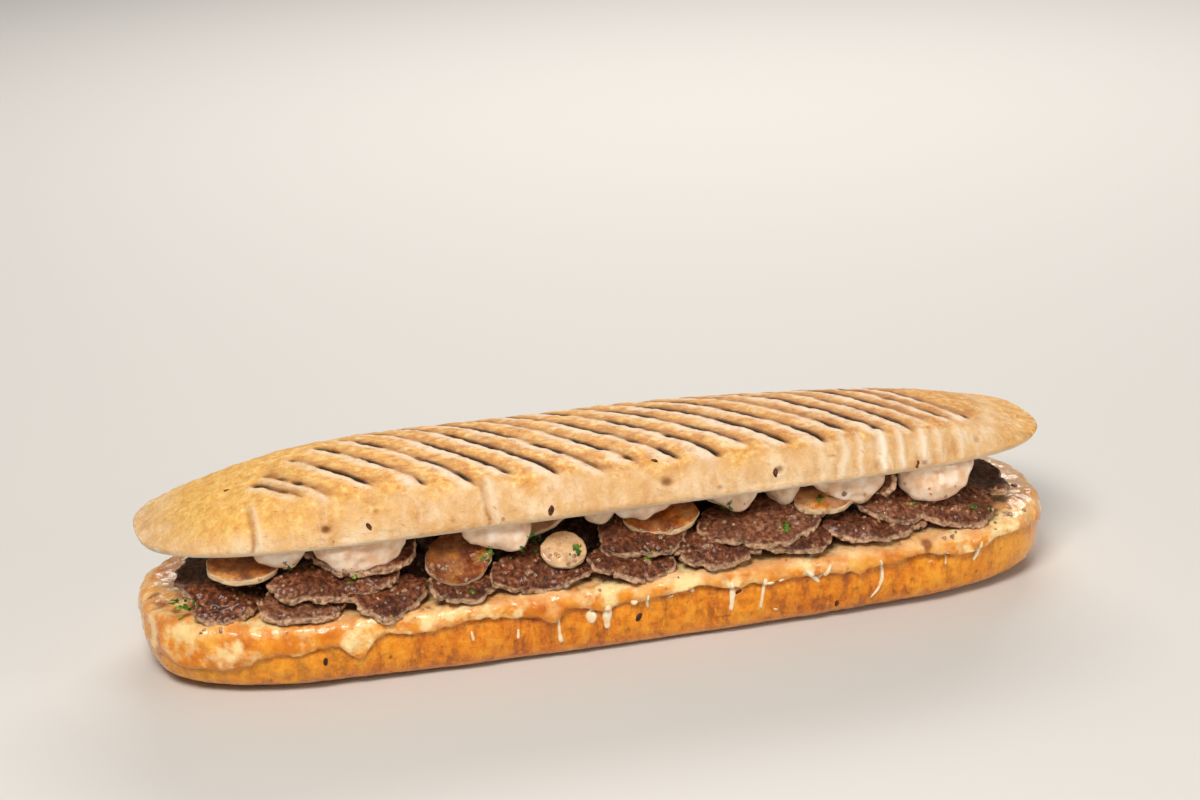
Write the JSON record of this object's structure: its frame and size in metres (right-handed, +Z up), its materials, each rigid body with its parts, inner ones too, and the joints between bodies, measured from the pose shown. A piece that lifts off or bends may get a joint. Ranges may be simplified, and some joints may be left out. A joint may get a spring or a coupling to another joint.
{
  "type": "kebab panini",
  "caption": "Long grilled panini split open and filled with kebab meat slices, fried mushrooms, melted cheese and white sauce.",
  "frame": {"origin": "centre of the underside, on the surface that the panini rests on", "axes": "+X along the roll to its right end, -Y to the open side, +Z up"},
  "size_m": [0.2822, 0.0833, 0.0614],
  "materials": {
    "lower_crust": "satin",
    "upper_crust": "matte",
    "melted_cheese": "gloss",
    "shaved_meat": "satin",
    "fried_mushroom": "satin",
    "white_sauce": "gloss"
  },
  "bodies": {
    "root": {"bottom_bun": "lower_crust", "melted_cheese": "melted_cheese", "top_bun": "upper_crust", "meat_mound": "shaved_meat", "meat_01": "shaved_meat", "meat_02": "shaved_meat", "meat_03": "shaved_meat", "meat_04": "shaved_meat", "meat_05": "shaved_meat", "meat_06": "shaved_meat", "meat_07": "shaved_meat", "meat_08": "shaved_meat", "meat_09": "shaved_meat", "meat_10": "shaved_meat", "meat_11": "shaved_meat", "meat_12": "shaved_meat", "meat_13": "shaved_meat", "meat_14": "shaved_meat", "meat_15": "shaved_meat", "meat_16": "shaved_meat", "meat_17": "shaved_meat", "meat_18": "shaved_meat", "meat_19": "shaved_meat", "meat_20": "shaved_meat", "meat_21": "shaved_meat", "meat_22": "shaved_meat", "meat_23": "shaved_meat", "meat_24": "shaved_meat", "meat_25": "shaved_meat", "meat_26": "shaved_meat", "meat_27": "shaved_meat", "meat_28": "shaved_meat", "meat_29": "shaved_meat", "meat_30": "shaved_meat", "meat_31": "shaved_meat", "meat_32": "shaved_meat", "meat_33": "shaved_meat", "mushroom_01": "fried_mushroom", "mushroom_02": "fried_mushroom", "mushroom_03": "fried_mushroom", "mushroom_04": "fried_mushroom", "mushroom_05": "fried_mushroom", "mushroom_06": "fried_mushroom", "mushroom_07": "fried_mushroom", "sauce_01": "white_sauce", "sauce_02": "white_sauce", "sauce_03": "white_sauce", "sauce_04": "white_sauce", "sauce_05": "white_sauce", "sauce_06": "white_sauce", "sauce_07": "white_sauce", "sauce_08": "white_sauce", "sauce_09": "white_sauce", "sauce_10": "white_sauce", "sauce_11": "white_sauce"}
  },
  "joints": []
}
